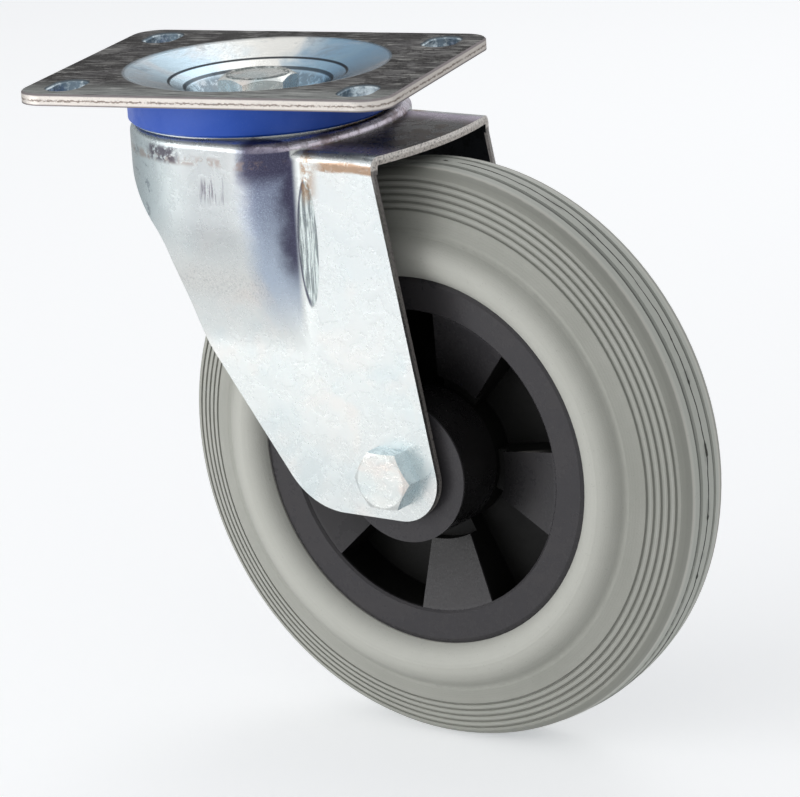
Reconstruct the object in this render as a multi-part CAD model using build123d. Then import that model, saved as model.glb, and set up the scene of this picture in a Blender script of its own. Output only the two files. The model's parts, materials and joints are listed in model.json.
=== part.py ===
from build123d import *
from math import acos, atan2, cos, degrees, pi, radians, sin, sqrt, tan
import os

# Swivel castor: a square-cornered mounting plate, a pressed steel fork that turns under it on
# two rings of balls, and a roller-bearing wheel with a grey rubber tyre.
# Millimetres, +Z up. The origin is the centre of the plate's top face, on the swivel axis.
# The turning parts are drawn with the fork trailing along +X and are turned to REST_HEADING at the end.

# ---- overall sizes ----
TRAIL = 71.0                 # swivel axis to wheel axle
AXLE_DROP = 128.0            # plate top to wheel axle
REST_HEADING = 76.5          # direction of the trail, from +X, as it stands
SHEET = 3.0                  # fork sheet
RUN = 0.1                    # running clearance, each side
EASE = 0.3                   # clearance between parts that turn past each other
REAR_END = 130.0             # sections of the fork run on this far before its rear is cut

# ---- mounting plate ----
PLATE_X = 109.0
PLATE_Y = 133.0
PLATE_T = 4.0
PLATE_CORNER_R = 10.0
PLATE_EDGE_BREAK = 0.5
SLOT_PITCH_X = 80.0
SLOT_PITCH_Y = 105.0
SLOT_WIDTH = 11.0
SLOT_LENGTH = 17.5
SLOT_FLARE = 0.8             # eased top edge of each slot

# ---- dish pressed into the plate ----
DISH_R = 45.0
DISH_STEP_R = 30.7
DISH_STEP_Z = -4.2
DISH_STEP = 0.35
WELL_R = 25.0
WELL_Z = -6.6
FLOOR_R = 20.0
FLOOR_Z = -13.5

# ---- king bolt, M16 ----
KING_R = 8.0
KING_AF = 24.0
KING_HEAD = 10.0
KING_WASHER_R = 15.0
KING_WASHER_T = 1.8
KING_NUT = 13.0
KING_COLLAR = 3.0            # round collar of the lock nut
KING_TAIL = 2.5
KING_PITCH = 2.0
CUP_T = 3.5                  # depth of the lower race cup
CUP_EDGE = 0.8               # its turned-off edges
THREAD_DEPTH = 0.9
FACE_SHARE = 0.95            # turned face of a bolt head or nut, as a share of its width
HEAD_RISE = 0.3              # raised rim on top of the king bolt's head
HEAD_RISE_OUT = 0.9          # outside of that rim, as a share of the head's width
HEAD_RISE_IN = 0.78

# ---- ball races ----
UPPER_PITCH_R = 38.0
UPPER_BALL_R = 2.95
UPPER_COUNT = 34
LOWER_PITCH_R = 32.0
LOWER_BALL_R = 2.45
LOWER_COUNT = 34

# ---- fork crown and dust ring ----
CROWN_TOP = -11.2
CROWN_BORE_R = 29.2
CROWN_INNER_UNDER = -15.2
NECK_R = 43.2
RING_R = 45.1
RING_TOP = -5.6
RING_FOOT = -16.0
RING_EDGE_BREAK = 0.8

# ---- drum: the round body under the ring ----
DRUM_R = 44.3                # half length, front to middle
DRUM_TOP = -16.6
DRUM_SHOULDER_R = 3.2
DRUM_REAR = 47.0             # how far its raised top reaches behind the middle
FLANK_OUT = 45.5             # outer face of the drum's flank
FLANK_CORNER_R = 17.0        # where the flank turns in
CREASE_R = 5.0               # hollow corner between flank and leg
CREASE_X = 41.0
FLANK_FALL_Z = -42.0         # the flank leans in below this height
FLANK_END_Z = -90.0          # and has died into the leg here

# ---- legs and the shelf between them ----
LEG_OUT = 35.5               # outer face of each leg, from the middle
SHELF_TOP = -20.0
SHELF_FOLD_R = 3.5
SHELF_REAR = 69.5
SHELF_BOW = 4.5

# ---- side view of the fork ----
FRONT_X = -36.0
FRONT_Z = -30.0
FRONT_CORNER_R = 10.0
CHEST_X = -13.0
CHEST_Z = -52.0
CHEST_R = 20.0
WAIST_X = -4.0
WAIST_Z = -87.0
WAIST_R = 40.0
FOOT_FRONT = 37.0
FOOT_FRONT_R = 26.0
FOOT_REAR = 91.3
FOOT_REAR_R = 15.0
FOOT_BELOW = 15.6
REAR_TOP_Z = -26.0

# ---- axle, M12 ----
AXLE_R = 6.0
AXLE_AF = 19.0
AXLE_HEAD = 7.8
AXLE_WASHER_R = 12.0
AXLE_WASHER_T = 2.5
AXLE_NUT = 10.0
AXLE_COLLAR = 2.5
AXLE_TAIL = 2.0
AXLE_PITCH = 1.75
SLEEVE_R = 8.5
THRUST_R = 15.0

# ---- wheel ----
WHEEL_R = 100.0
HUB_HALF = 30.5
HUB_R = 24.4
HUB_CAP_T = 2.0
ROLLER_R = 2.0
ROLLER_HALF = 25.0
ROLLER_COUNT = 12
RIM_SEAT_R = 61.0
RIM_EDGE_R = 64.0
RIM_HALF = 18.6
RIM_LIP_T = 1.6
RIM_EDGE_BREAK = 0.8
RING_INNER_R = 52.5
SPOKE_COUNT = 5
SPOKE_ANGLE = 32.0
SPOKE_EDGE_R = 29.0
SPOKE_OUTER_HALF = 17.9
SPOKE_INNER_HALF = 12.0
RECESS_HALF = 8.0
SPOKE_START = 6.0            # angle of the first spoke below the rearward direction
WEB_HALF = 1.5               # thin wall that closes the pockets between the spokes

# ---- tyre ----
BULGE_R = 71.5
BULGE_HALF = 23.2
STEP_R = 79.4
STEP_HALF = 18.4
SHOULDER_DROP = 2.9          # where the side wall ends, below the tread
SHOULDER_HALF = 12.8
TREAD_DROP = 0.6             # edge of the tread, below its middle
TREAD_HALF = 8.4
SIDE_GROOVES = 5
SIDE_GROOVE_FIRST_R = 86.5
SIDE_GROOVE_PITCH = 2.3
SIDE_GROOVE_W = 0.9
SIDE_GROOVE_D = 0.55
TREAD_GROOVE_AT = 4.4
TREAD_GROOVE_W = 1.9
TREAD_GROOVE_D = 1.0

os.makedirs("parts", exist_ok=True)


def turned(outline):
    """A closed outline of (radius, height) points, turned about the Z axis."""
    return revolve(make_face(Plane.XZ * Polyline(*outline, close=True)), Axis.Z)


def turned_wheel(outline):
    """A closed outline of (radius, offset along the axle) points, turned about the Y axis."""
    return revolve(make_face(Polyline(*outline, close=True)), Axis.Y)


def disc(radius, low, high):
    return Pos(0, 0, low) * Cylinder(radius, high - low, align=(Align.CENTER, Align.CENTER, Align.MIN))


def tube(outer, inner, low, high):
    return disc(outer, low, high) - disc(inner, low - 1, high + 1)


def axle_way(shape):
    """Stands a shape drawn along +Z along +Y instead, with its top towards +Y."""
    return Rot(-90, 0, 0) * shape


def wheel_tube(outer, inner, low, high):
    return axle_way(tube(outer, inner, low, high))


def hexagon(across_flats, low, high):
    """A hexagon prism with its top corners turned off."""
    corner_r = across_flats / sqrt(3)
    face_r = across_flats / 2 * FACE_SHARE
    slope = tan(radians(30))
    prism = extrude(Plane.XY.offset(low) * RegularPolygon(corner_r, 6), high - low)
    cone = turned([(0, low), (corner_r + 1, low), (corner_r + 1, high - (corner_r + 1 - face_r) * slope),
                   (face_r, high), (0, high)])
    return prism & cone


def bolt_threads(radius, low, high, pitch):
    """The outline of a threaded end as plain rings, one for each turn, from high down to low."""
    turns = int((high - low) / pitch)
    points = [(0, high), (radius, high)]
    for turn in range(turns):
        crest = high - turn * pitch
        points.append((radius - THREAD_DEPTH, crest - pitch / 2))
        points.append((radius, crest - pitch))
    points.append((radius - THREAD_DEPTH, low))
    points.append((0, low))
    return turned(points)


def lock_nut(across_flats, bore_r, low, high, collar):
    """A nut that ends in a round collar, and the soft ring that the collar holds."""
    collar_r = across_flats / 2 * 0.92
    insert_r = (collar_r + bore_r) / 2
    body = hexagon(across_flats, low, high) + disc(collar_r, high - 1, high + collar)
    body -= disc(bore_r, low - 1, high + collar + 1)
    seat = high + 0.4
    body -= disc(insert_r, seat, high + collar - 0.5)
    insert = tube(insert_r, bore_r, seat, high + collar - 0.5)
    return body, insert


def ball_ring(count, ball_r, pitch_r, height):
    ball = Pos(pitch_r, 0, height) * Sphere(ball_r)
    return [Rot(0, 0, 360 * k / count) * ball for k in range(count)]


def groove(pitch_r, height, radius):
    return Pos(0, 0, height) * Torus(pitch_r, radius)


def save(name, shape):
    export_step(shape, f"parts/{name}.step")


def heading(shape):
    """Turns a part of the fork to the direction that it stands in."""
    return Rot(0, 0, REST_HEADING) * shape


def at_axle(shape):
    return Pos(TRAIL, 0, -AXLE_DROP) * shape


# ---- mounting plate ----
plate = extrude(Plane.XY.offset(-PLATE_T) * RectangleRounded(PLATE_X, PLATE_Y, PLATE_CORNER_R), PLATE_T)
plate = chamfer(plate.edges().filter_by(lambda e: abs(e.center().Z) < 1e-6), PLATE_EDGE_BREAK)
dish_slope = -DISH_STEP_Z / (DISH_R - DISH_STEP_R)
dish_under_r = DISH_R + PLATE_T * dish_slope / 2
step_under_z = DISH_STEP_Z - PLATE_T
well_under_r = WELL_R + 3.6
floor_under_z = FLOOR_Z - PLATE_T
dish = turned([(DISH_R + 6, 0), (DISH_R + 1.2, -0.05), (DISH_R - 1, -0.45), (DISH_STEP_R, DISH_STEP_Z),
               (DISH_STEP_R - 0.3, DISH_STEP_Z - DISH_STEP),
               (WELL_R + 0.6, WELL_Z + 0.1), (WELL_R - 0.6, WELL_Z - 0.9), (FLOOR_R + 0.5, FLOOR_Z + 0.8),
               (FLOOR_R - 0.6, FLOOR_Z), (KING_R + RUN, FLOOR_Z), (KING_R + RUN, floor_under_z),
               (FLOOR_R + 3.2, floor_under_z), (FLOOR_R + 4.2, floor_under_z + 1),
               (well_under_r, WELL_Z - 3.0), (DISH_STEP_R + 1.0, step_under_z),
               (dish_under_r, -PLATE_T), (DISH_R + 6, -PLATE_T)])
plate = plate - disc(DISH_R + 6, -PLATE_T - 1, 1) + dish
for x in (-SLOT_PITCH_X / 2, SLOT_PITCH_X / 2):
    for y in (-SLOT_PITCH_Y / 2, SLOT_PITCH_Y / 2):
        slot = extrude(Pos(x, y, -PLATE_T - 1) * SlotOverall(SLOT_LENGTH, SLOT_WIDTH), PLATE_T + 2)
        wide = SlotOverall(SLOT_LENGTH + 2 * SLOT_FLARE, SLOT_WIDTH + 2 * SLOT_FLARE)
        narrow = SlotOverall(SLOT_LENGTH, SLOT_WIDTH)
        flare = loft([Pos(x, y, 0) * wide, Pos(x, y, -SLOT_FLARE) * narrow])
        plate = plate - slot - flare
save("top_plate", plate)

# ---- king bolt with its washer and lock nut ----
cup_under = floor_under_z - CUP_T
washer_under = cup_under - KING_WASHER_T
nut_under = washer_under - KING_NUT
bolt_end = nut_under - KING_COLLAR - KING_TAIL
king_head = Pos(0, 0, FLOOR_Z) * hexagon(KING_AF, 0, KING_HEAD)
head_top = FLOOR_Z + KING_HEAD
king_head += disc(KING_AF / 2 * HEAD_RISE_OUT, head_top - 0.5, head_top + HEAD_RISE)
king_head -= disc(KING_AF / 2 * HEAD_RISE_IN, head_top, head_top + 1)
king_shank = disc(KING_R, washer_under, FLOOR_Z)
king_shank += bolt_threads(KING_R, bolt_end, washer_under, KING_PITCH)
save("king_bolt", king_head + king_shank)
save("king_washer", tube(KING_WASHER_R, KING_R + RUN, washer_under, cup_under))
king_nut, king_insert = lock_nut(KING_AF, KING_R + RUN, 0, KING_NUT, KING_COLLAR)
upside_down = Pos(0, 0, washer_under) * Rot(180, 0, 0)
save("king_nut", upside_down * king_nut)
save("king_nut_insert", upside_down * king_insert)

# ---- balls and lower race cup ----
under_at_pitch = step_under_z + (UPPER_PITCH_R - DISH_STEP_R - 1.0) * dish_slope
upper_ball_z = under_at_pitch - (UPPER_BALL_R + RUN) * sqrt(1 + dish_slope ** 2)
upper_race_r = UPPER_BALL_R + RUN
lower_race_r = LOWER_BALL_R + RUN
lower_ball_z = CROWN_INNER_UNDER - lower_race_r + 1.0
save("upper_balls", Compound(children=ball_ring(UPPER_COUNT, UPPER_BALL_R, UPPER_PITCH_R, upper_ball_z)))
save("lower_balls", Compound(children=ball_ring(LOWER_COUNT, LOWER_BALL_R, LOWER_PITCH_R, lower_ball_z)))
cup_r = LOWER_PITCH_R + 4.5
cup = turned([(KING_R + RUN, floor_under_z), (LOWER_PITCH_R, floor_under_z),
              (LOWER_PITCH_R, floor_under_z + CUP_EDGE), (cup_r, floor_under_z + CUP_EDGE),
              (cup_r, cup_under + 0.6), (cup_r - 2, cup_under - CUP_EDGE),
              (LOWER_PITCH_R - 3.5, cup_under - CUP_EDGE), (LOWER_PITCH_R - 6, cup_under),
              (KING_R + RUN, cup_under)])
save("lower_race_cup", cup - groove(LOWER_PITCH_R, lower_ball_z, lower_race_r))

# ---- dust ring ----
dust_ring = tube(RING_R, NECK_R + RUN, RING_FOOT, RING_TOP)
foot_edges = dust_ring.edges().filter_by(GeomType.CIRCLE).sort_by(Axis.Z)[:2]
dust_ring = chamfer(foot_edges.sort_by(SortBy.RADIUS)[-1], RING_EDGE_BREAK)
save("dust_ring", heading(dust_ring))


# ---- fork ----
def corner_turn(stand):
    """Angle that flank and leg turn through when the flank stands out from the leg by this much."""
    return degrees(acos(1 - stand / (FLANK_CORNER_R + CREASE_R)))


def half_outline(inset, stand, side):
    """From the rear end of one leg to the middle of its flank, as a wire."""
    leg = LEG_OUT - inset
    turn = corner_turn(stand) * side
    line = Line((REAR_END, side * leg), (CREASE_X, side * leg))
    hollow = JernArc(line @ 1, line % 1, CREASE_R + inset, -turn)
    corner = JernArc(hollow @ 1, hollow % 1, FLANK_CORNER_R - inset, turn)
    flank = Line(corner @ 1, (0, (corner @ 1).Y))
    return [line, hollow, corner, flank]


def section(inset, stand):
    """Level section through the fork: round front, flanks, hollow corners and both legs."""
    flank = LEG_OUT + stand - inset
    left = half_outline(inset, stand, 1)
    right = half_outline(inset, stand, -1)
    front = EllipticalCenterArc((0, 0), DRUM_R - inset, flank, start_angle=90, arc_size=180)
    back = Line((REAR_END, LEG_OUT - inset), (REAR_END, inset - LEG_OUT))
    return make_face(Wire(left + [front] + right + [back]))


def tower_plan(inset):
    """Outline of the drum's raised top: its corners run on into one flat curve across the back."""
    stand = FLANK_OUT - LEG_OUT
    half = FLANK_OUT - inset
    run = CREASE_X - (FLANK_CORNER_R + CREASE_R) * sin(radians(corner_turn(stand)))
    corner_r = FLANK_CORNER_R - inset
    corner_y = FLANK_OUT - FLANK_CORNER_R
    reach = DRUM_REAR - FLANK_CORNER_R
    centre = (run ** 2 + corner_y ** 2 - reach ** 2) / (2 * (run - reach))
    turn = degrees(atan2(corner_y, run - centre))
    front = EllipticalCenterArc((0, 0), DRUM_R - inset, half, start_angle=90, arc_size=180)
    lines = [Line((run, half), (0, half)), front, Line((0, -half), (run, -half))]
    lines.append(CenterArc((run, -corner_y), corner_r, -90, 90 - turn))
    lines.append(CenterArc((centre, 0), DRUM_REAR - inset - centre, -turn, 2 * turn))
    lines.append(CenterArc((run, corner_y), corner_r, turn, 90 - turn))
    return make_face(Wire(lines))


def lean(t):
    """How far the flank still stands out from the leg, from 1 at the top to 0 at the bottom."""
    return (1 + cos(pi * min(max(t, 0), 1))) / 2


def body(inset):
    """The fork as a solid block, or with inset as the room inside its sheet."""
    stand = FLANK_OUT - LEG_OUT
    fall = FLANK_FALL_Z - FLANK_END_Z
    faces = []
    for t in (-0.2, -0.1, 0, 0.1, 0.25, 0.4, 0.55, 0.7, 0.85, 1):
        height = FLANK_FALL_Z - t * fall
        faces.append(Plane.XY.offset(height) * section(inset, max(stand * lean(t), 0.02)))
    upright_foot = FLANK_FALL_Z + fall / 5
    upright_height = SHELF_TOP - inset - upright_foot
    upright = extrude(Plane.XY.offset(upright_foot) * section(inset, stand), upright_height)
    top_edges = upright.edges().filter_by(lambda e: abs(e.center().Z - SHELF_TOP + inset) < 1e-6)
    fold_edges = [e for e in top_edges if e.center().X < REAR_END - 1]
    upright = fillet(fold_edges, max(SHELF_FOLD_R - inset, 0.5))
    legs = Pos(-20, 0, FLANK_END_Z) * Box(REAR_END + 20, 2 * (LEG_OUT - inset), AXLE_DROP,
                                          align=(Align.MIN, Align.CENTER, Align.MAX))
    tower = extrude(Plane.XY.offset(upright_foot) * tower_plan(inset), DRUM_TOP - inset - upright_foot)
    rim_edges = tower.edges().filter_by(lambda e: abs(e.center().Z - DRUM_TOP + inset) < 1e-6)
    tower = fillet(rim_edges, max(DRUM_SHOULDER_R - inset, 0.5))
    return loft(faces) + upright + legs + tower


def side_profile():
    """Side view of the fork: drum front, slanting front edge, foot round the axle, rear edge."""
    foot = -AXLE_DROP - FOOT_BELOW
    behind = SHELF_REAR + SHELF_BOW + 1
    corners = [(-60, FRONT_Z + 2), (FRONT_X, FRONT_Z), (CHEST_X, CHEST_Z), (WAIST_X, WAIST_Z),
               (FOOT_FRONT, foot), (FOOT_REAR, foot), (SHELF_REAR, REAR_TOP_Z), (behind, REAR_TOP_Z),
               (behind, 0), (-60, 0)]
    face = make_face(Plane.XZ * Polyline(*corners, close=True))
    radii = {FRONT_X: FRONT_CORNER_R, CHEST_X: CHEST_R, WAIST_X: WAIST_R,
             FOOT_FRONT: FOOT_FRONT_R, FOOT_REAR: FOOT_REAR_R}
    for x, radius in radii.items():
        corner = [v for v in face.vertices() if abs(v.X - x) < 1e-6]
        face = fillet(corner, radius)
    return extrude(face, 80, both=True)


def crown():
    """The top of the fork: a neck for the dust ring and a flange with a race on each side."""
    upper_w = sqrt(upper_race_r ** 2 - (upper_ball_z - CROWN_TOP) ** 2)
    lower_w = sqrt(lower_race_r ** 2 - (lower_ball_z - CROWN_INNER_UNDER) ** 2)
    under = CROWN_INNER_UNDER - 0.7
    step_r = LOWER_PITCH_R + 3
    foot = DRUM_TOP - SHEET / 2
    upper_in = (UPPER_PITCH_R - upper_w, CROWN_TOP)
    upper_out = (UPPER_PITCH_R + upper_w, CROWN_TOP)
    lower_in = (LOWER_PITCH_R - lower_w, CROWN_INNER_UNDER)
    lower_out = (LOWER_PITCH_R + lower_w, CROWN_INNER_UNDER)
    line = Line((CROWN_BORE_R, CROWN_TOP), upper_in)
    line += ThreePointArc(upper_in, (UPPER_PITCH_R, upper_ball_z - upper_race_r), upper_out)
    line += Polyline(upper_out, (NECK_R, CROWN_TOP), (NECK_R, foot), (neck_in, foot), (neck_in, under),
                     (step_r, under), (step_r, CROWN_INNER_UNDER), lower_out)
    line += ThreePointArc(lower_out, (LOWER_PITCH_R, lower_ball_z + lower_race_r), lower_in)
    line += Polyline(lower_in, (CROWN_BORE_R, CROWN_INNER_UNDER), (CROWN_BORE_R, CROWN_TOP))
    return revolve(make_face(Plane.XZ * line), Axis.Z)


fork = (body(0) - body(SHEET)) & side_profile()
bow_r = (LEG_OUT ** 2 + SHELF_BOW ** 2) / (2 * SHELF_BOW)
behind = Pos(SHELF_REAR, 0, REAR_TOP_Z) * Box(20, 200, 30, align=(Align.MIN, Align.CENTER, Align.MIN))
fork -= behind - Pos(SHELF_REAR + SHELF_BOW - bow_r, 0, 0) * Cylinder(bow_r, 200)
neck_in = NECK_R - SHEET
fork -= disc(neck_in, DRUM_TOP - 2 * SHEET, 0)
fork += crown()
fork -= at_axle(axle_way(Cylinder(AXLE_R + RUN, 200)))
save("fork", heading(fork))

# ---- axle bolt, sleeve, washers and lock nut ----
leg_in = LEG_OUT - SHEET
nut_foot = LEG_OUT + AXLE_WASHER_T
axle_end = nut_foot + AXLE_NUT + AXLE_COLLAR + AXLE_TAIL
head = Rot(180, 0, 0) * hexagon(AXLE_AF, 0, AXLE_HEAD)
head = Pos(0, 0, -LEG_OUT) * head
shank = disc(AXLE_R, -LEG_OUT, nut_foot)
thread = Pos(0, 0, nut_foot) * Rot(180, 0, 0) * bolt_threads(AXLE_R, nut_foot - axle_end, 0, AXLE_PITCH)
save("axle_bolt", heading(at_axle(axle_way(head + shank + thread))))
save("axle_washer", heading(at_axle(wheel_tube(AXLE_WASHER_R, AXLE_R + RUN, LEG_OUT, nut_foot))))
axle_nut, axle_insert = lock_nut(AXLE_AF, AXLE_R + RUN, nut_foot, nut_foot + AXLE_NUT, AXLE_COLLAR)
save("axle_nut", heading(at_axle(axle_way(axle_nut))))
save("axle_nut_insert", heading(at_axle(axle_way(axle_insert))))
save("axle_sleeve", heading(at_axle(wheel_tube(SLEEVE_R, AXLE_R + RUN, -leg_in, leg_in))))
thrust = wheel_tube(THRUST_R, SLEEVE_R + RUN, HUB_HALF + EASE, leg_in - RUN)
save("thrust_washer_nut_side", heading(at_axle(thrust)))
save("thrust_washer_head_side", heading(at_axle(mirror(thrust, about=Plane.XZ))))

# ---- roller bearing ----
roller_pitch_r = SLEEVE_R + ROLLER_R + RUN / 2
bore_r = roller_pitch_r + ROLLER_R + RUN / 2
roller_angle = 360 / ROLLER_COUNT
roller = Pos(roller_pitch_r, 0, 0) * Cylinder(ROLLER_R, 2 * ROLLER_HALF)
rollers = [Rot(0, 0, roller_angle * k) * roller for k in range(ROLLER_COUNT)]
cage_half = HUB_HALF - HUB_CAP_T - EASE
cage = tube(bore_r - 0.4, SLEEVE_R + 0.4, -cage_half, cage_half)
pocket = Pos(roller_pitch_r, 0, 0) * Cylinder(ROLLER_R + RUN, 2 * ROLLER_HALF + 2 * RUN)
for k in range(ROLLER_COUNT):
    cage -= Rot(0, 0, roller_angle * k) * pocket
save("rollers", heading(at_axle(axle_way(Compound(children=rollers)))))
save("roller_cage", heading(at_axle(axle_way(cage))))

# ---- rim: hub tube, wedge spokes and ring in one moulding ----
hub_end = HUB_HALF - HUB_CAP_T
lip_in = RIM_HALF - RIM_LIP_T
hub = turned_wheel([(bore_r, -hub_end), (HUB_R, -hub_end), (HUB_R, hub_end), (bore_r, hub_end)])
spoke_disc = turned_wheel([(HUB_R - 1, -RECESS_HALF), (SPOKE_EDGE_R, -RECESS_HALF),
                           (SPOKE_EDGE_R, -SPOKE_INNER_HALF), (RING_INNER_R + 1, -SPOKE_OUTER_HALF),
                           (RING_INNER_R + 1, SPOKE_OUTER_HALF), (SPOKE_EDGE_R, SPOKE_INNER_HALF),
                           (SPOKE_EDGE_R, RECESS_HALF), (HUB_R - 1, RECESS_HALF)])
half_angle = radians(SPOKE_ANGLE / 2)
reach = RIM_EDGE_R / cos(half_angle)
wedge_x = reach * cos(half_angle)
wedge_z = reach * sin(half_angle)
wedge = make_face(Plane.XZ * Polyline((0, 0), (wedge_x, wedge_z), (wedge_x, -wedge_z), close=True))
wedge = extrude(wedge, RIM_HALF + 5, both=True)
ring_break_r = RING_INNER_R + RIM_EDGE_BREAK
lip_break_r = RIM_EDGE_R - 2 * RIM_EDGE_BREAK
break_half = RIM_HALF - RIM_EDGE_BREAK
ring = turned_wheel([(ring_break_r, -RIM_HALF), (lip_break_r, -RIM_HALF), (RIM_EDGE_R, -break_half),
                     (RIM_EDGE_R, -lip_in), (RIM_SEAT_R, -lip_in), (RIM_SEAT_R, lip_in),
                     (RIM_EDGE_R, lip_in), (RIM_EDGE_R, break_half), (lip_break_r, RIM_HALF),
                     (ring_break_r, RIM_HALF), (RING_INNER_R, break_half), (RING_INNER_R, -break_half)])
web = turned_wheel([(HUB_R - 1, -WEB_HALF), (RING_INNER_R + 1, -WEB_HALF),
                    (RING_INNER_R + 1, WEB_HALF), (HUB_R - 1, WEB_HALF)])
rim = ring + hub + web
for k in range(SPOKE_COUNT):
    rim += spoke_disc & (Rot(0, SPOKE_START + 360 * k / SPOKE_COUNT, 0) * wedge)
rim -= turned_wheel([(0, -40), (bore_r, -40), (bore_r, 40), (0, 40)])
save("rim", heading(at_axle(rim)))
cap = wheel_tube(HUB_R + 0.2, SLEEVE_R + EASE, hub_end, HUB_HALF)
save("hub_cap_nut_side", heading(at_axle(cap)))
save("hub_cap_head_side", heading(at_axle(mirror(cap, about=Plane.XZ))))

# ---- tyre ----
shoulder_r = WHEEL_R - SHOULDER_DROP
wall_foot_r = STEP_R + 1.5
fall = (STEP_HALF - SHOULDER_HALF) / (shoulder_r - wall_foot_r)


def wall_half(r):
    """Half width of the tyre where its side wall is flat."""
    return STEP_HALF - (r - wall_foot_r) * fall


side_wall = [(wall_foot_r, STEP_HALF)]
for k in range(SIDE_GROOVES):
    r = SIDE_GROOVE_FIRST_R + k * SIDE_GROOVE_PITCH
    for step, depth in ((-1 / 2, 0), (-1 / 4, SIDE_GROOVE_D), (1 / 4, SIDE_GROOVE_D), (1 / 2, 0)):
        edge_r = r + step * SIDE_GROOVE_W
        side_wall.append((edge_r, wall_half(edge_r) - depth))
side_wall.append((shoulder_r, SHOULDER_HALF))


def tyre_half(sign):
    """One side of the tyre's section, from the rim out to the middle of the tread."""
    def at(r, y):
        return (r, sign * y)
    seat_r = RIM_SEAT_R + RUN / 2
    lip_r = RIM_EDGE_R + RUN / 2
    lip_y = lip_in - RUN / 2
    bead = at(lip_r, lip_in + 1.4)
    bulge = at(BULGE_R, BULGE_HALF)
    hollow = at(STEP_R - 0.8, STEP_HALF + 1)
    line = Polyline(at(seat_r, 0), at(seat_r, lip_y), at(lip_r, lip_y), bead)
    line += ThreePointArc(bead, at(lip_r + 2.2, BULGE_HALF - 1.8), bulge)
    line += ThreePointArc(bulge, at(BULGE_R + 4.8, BULGE_HALF - 1.7), hollow)
    line += ThreePointArc(hollow, at(STEP_R, STEP_HALF + 0.25), at(*side_wall[0]))
    line += Polyline(*[at(*point) for point in side_wall])
    tread_edge = at(WHEEL_R - TREAD_DROP, TREAD_HALF)
    shoulder_mid = at(WHEEL_R - 1.35, (SHOULDER_HALF + TREAD_HALF) / 2 + 0.35)
    line += ThreePointArc(at(*side_wall[-1]), shoulder_mid, tread_edge)
    crown_r = WHEEL_R - TREAD_DROP / 4
    gap = TREAD_GROOVE_W / 2
    groove_out = at(crown_r, TREAD_GROOVE_AT + gap)
    groove_in = at(WHEEL_R, TREAD_GROOVE_AT - gap)
    line += Line(tread_edge, groove_out)
    line += ThreePointArc(groove_out, at(WHEEL_R - TREAD_GROOVE_D, TREAD_GROOVE_AT), groove_in)
    line += Polyline(groove_in, at(WHEEL_R, 0), at(seat_r, 0))
    return revolve(make_face(line), Axis.Y)


tyre = tyre_half(1) + tyre_half(-1)
save("tyre", heading(at_axle(tyre)))
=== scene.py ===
import json
from math import atan2, cos, pi, radians, sin

import bmesh
import bpy
from mathutils import Matrix, Vector


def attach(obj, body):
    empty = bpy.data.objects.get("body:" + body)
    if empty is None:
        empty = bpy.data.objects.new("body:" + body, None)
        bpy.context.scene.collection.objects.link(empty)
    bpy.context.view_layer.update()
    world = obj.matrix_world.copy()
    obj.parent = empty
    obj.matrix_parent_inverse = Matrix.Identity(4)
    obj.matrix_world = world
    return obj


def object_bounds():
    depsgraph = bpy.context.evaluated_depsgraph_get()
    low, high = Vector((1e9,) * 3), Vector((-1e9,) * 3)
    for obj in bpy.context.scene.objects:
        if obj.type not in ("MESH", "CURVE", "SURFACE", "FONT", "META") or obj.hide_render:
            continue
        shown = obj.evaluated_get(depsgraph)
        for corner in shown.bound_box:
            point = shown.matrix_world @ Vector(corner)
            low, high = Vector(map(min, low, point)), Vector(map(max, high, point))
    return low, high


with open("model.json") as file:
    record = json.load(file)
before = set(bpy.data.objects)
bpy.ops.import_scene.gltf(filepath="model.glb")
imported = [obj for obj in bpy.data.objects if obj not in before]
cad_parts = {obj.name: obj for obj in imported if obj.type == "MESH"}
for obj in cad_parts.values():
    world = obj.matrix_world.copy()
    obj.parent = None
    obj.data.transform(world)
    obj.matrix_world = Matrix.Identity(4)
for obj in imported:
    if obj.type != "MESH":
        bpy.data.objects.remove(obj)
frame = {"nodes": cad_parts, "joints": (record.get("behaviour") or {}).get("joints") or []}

CAD_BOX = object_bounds()

bl_info = {
    "name": "Swivel Castor Finish",
    "version": (1, 0, 0),
    "blender": (4, 5, 0),
    "location": "3D View > Sidebar > Castor",
    "description": "Finishes the plate, fork and wheel of a swivel castor and sets up its studio",
    "category": "Object",
}

JOINTS = {joint["name"]: joint for joint in frame["joints"]}
AXLE = Vector(JOINTS["wheel_spin"]["pos_m"])
AXLE_WAY = Vector(JOINTS["wheel_spin"]["axis"])
TRAIL_TURN = atan2(AXLE_WAY.y, AXLE_WAY.x) - pi / 2    # direction of the trail, from +X
NODES = frame["nodes"]
GROOVE_FIRST_R = 86.5          # innermost of the grooves in the tyre's side wall, mm from the axle
GROOVE_PITCH = 2.3
RIDGE_POINTS = 900             # points round the mould line
RIDGE_SIDES = 6
RIDGE_SEED = 4.0


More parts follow.
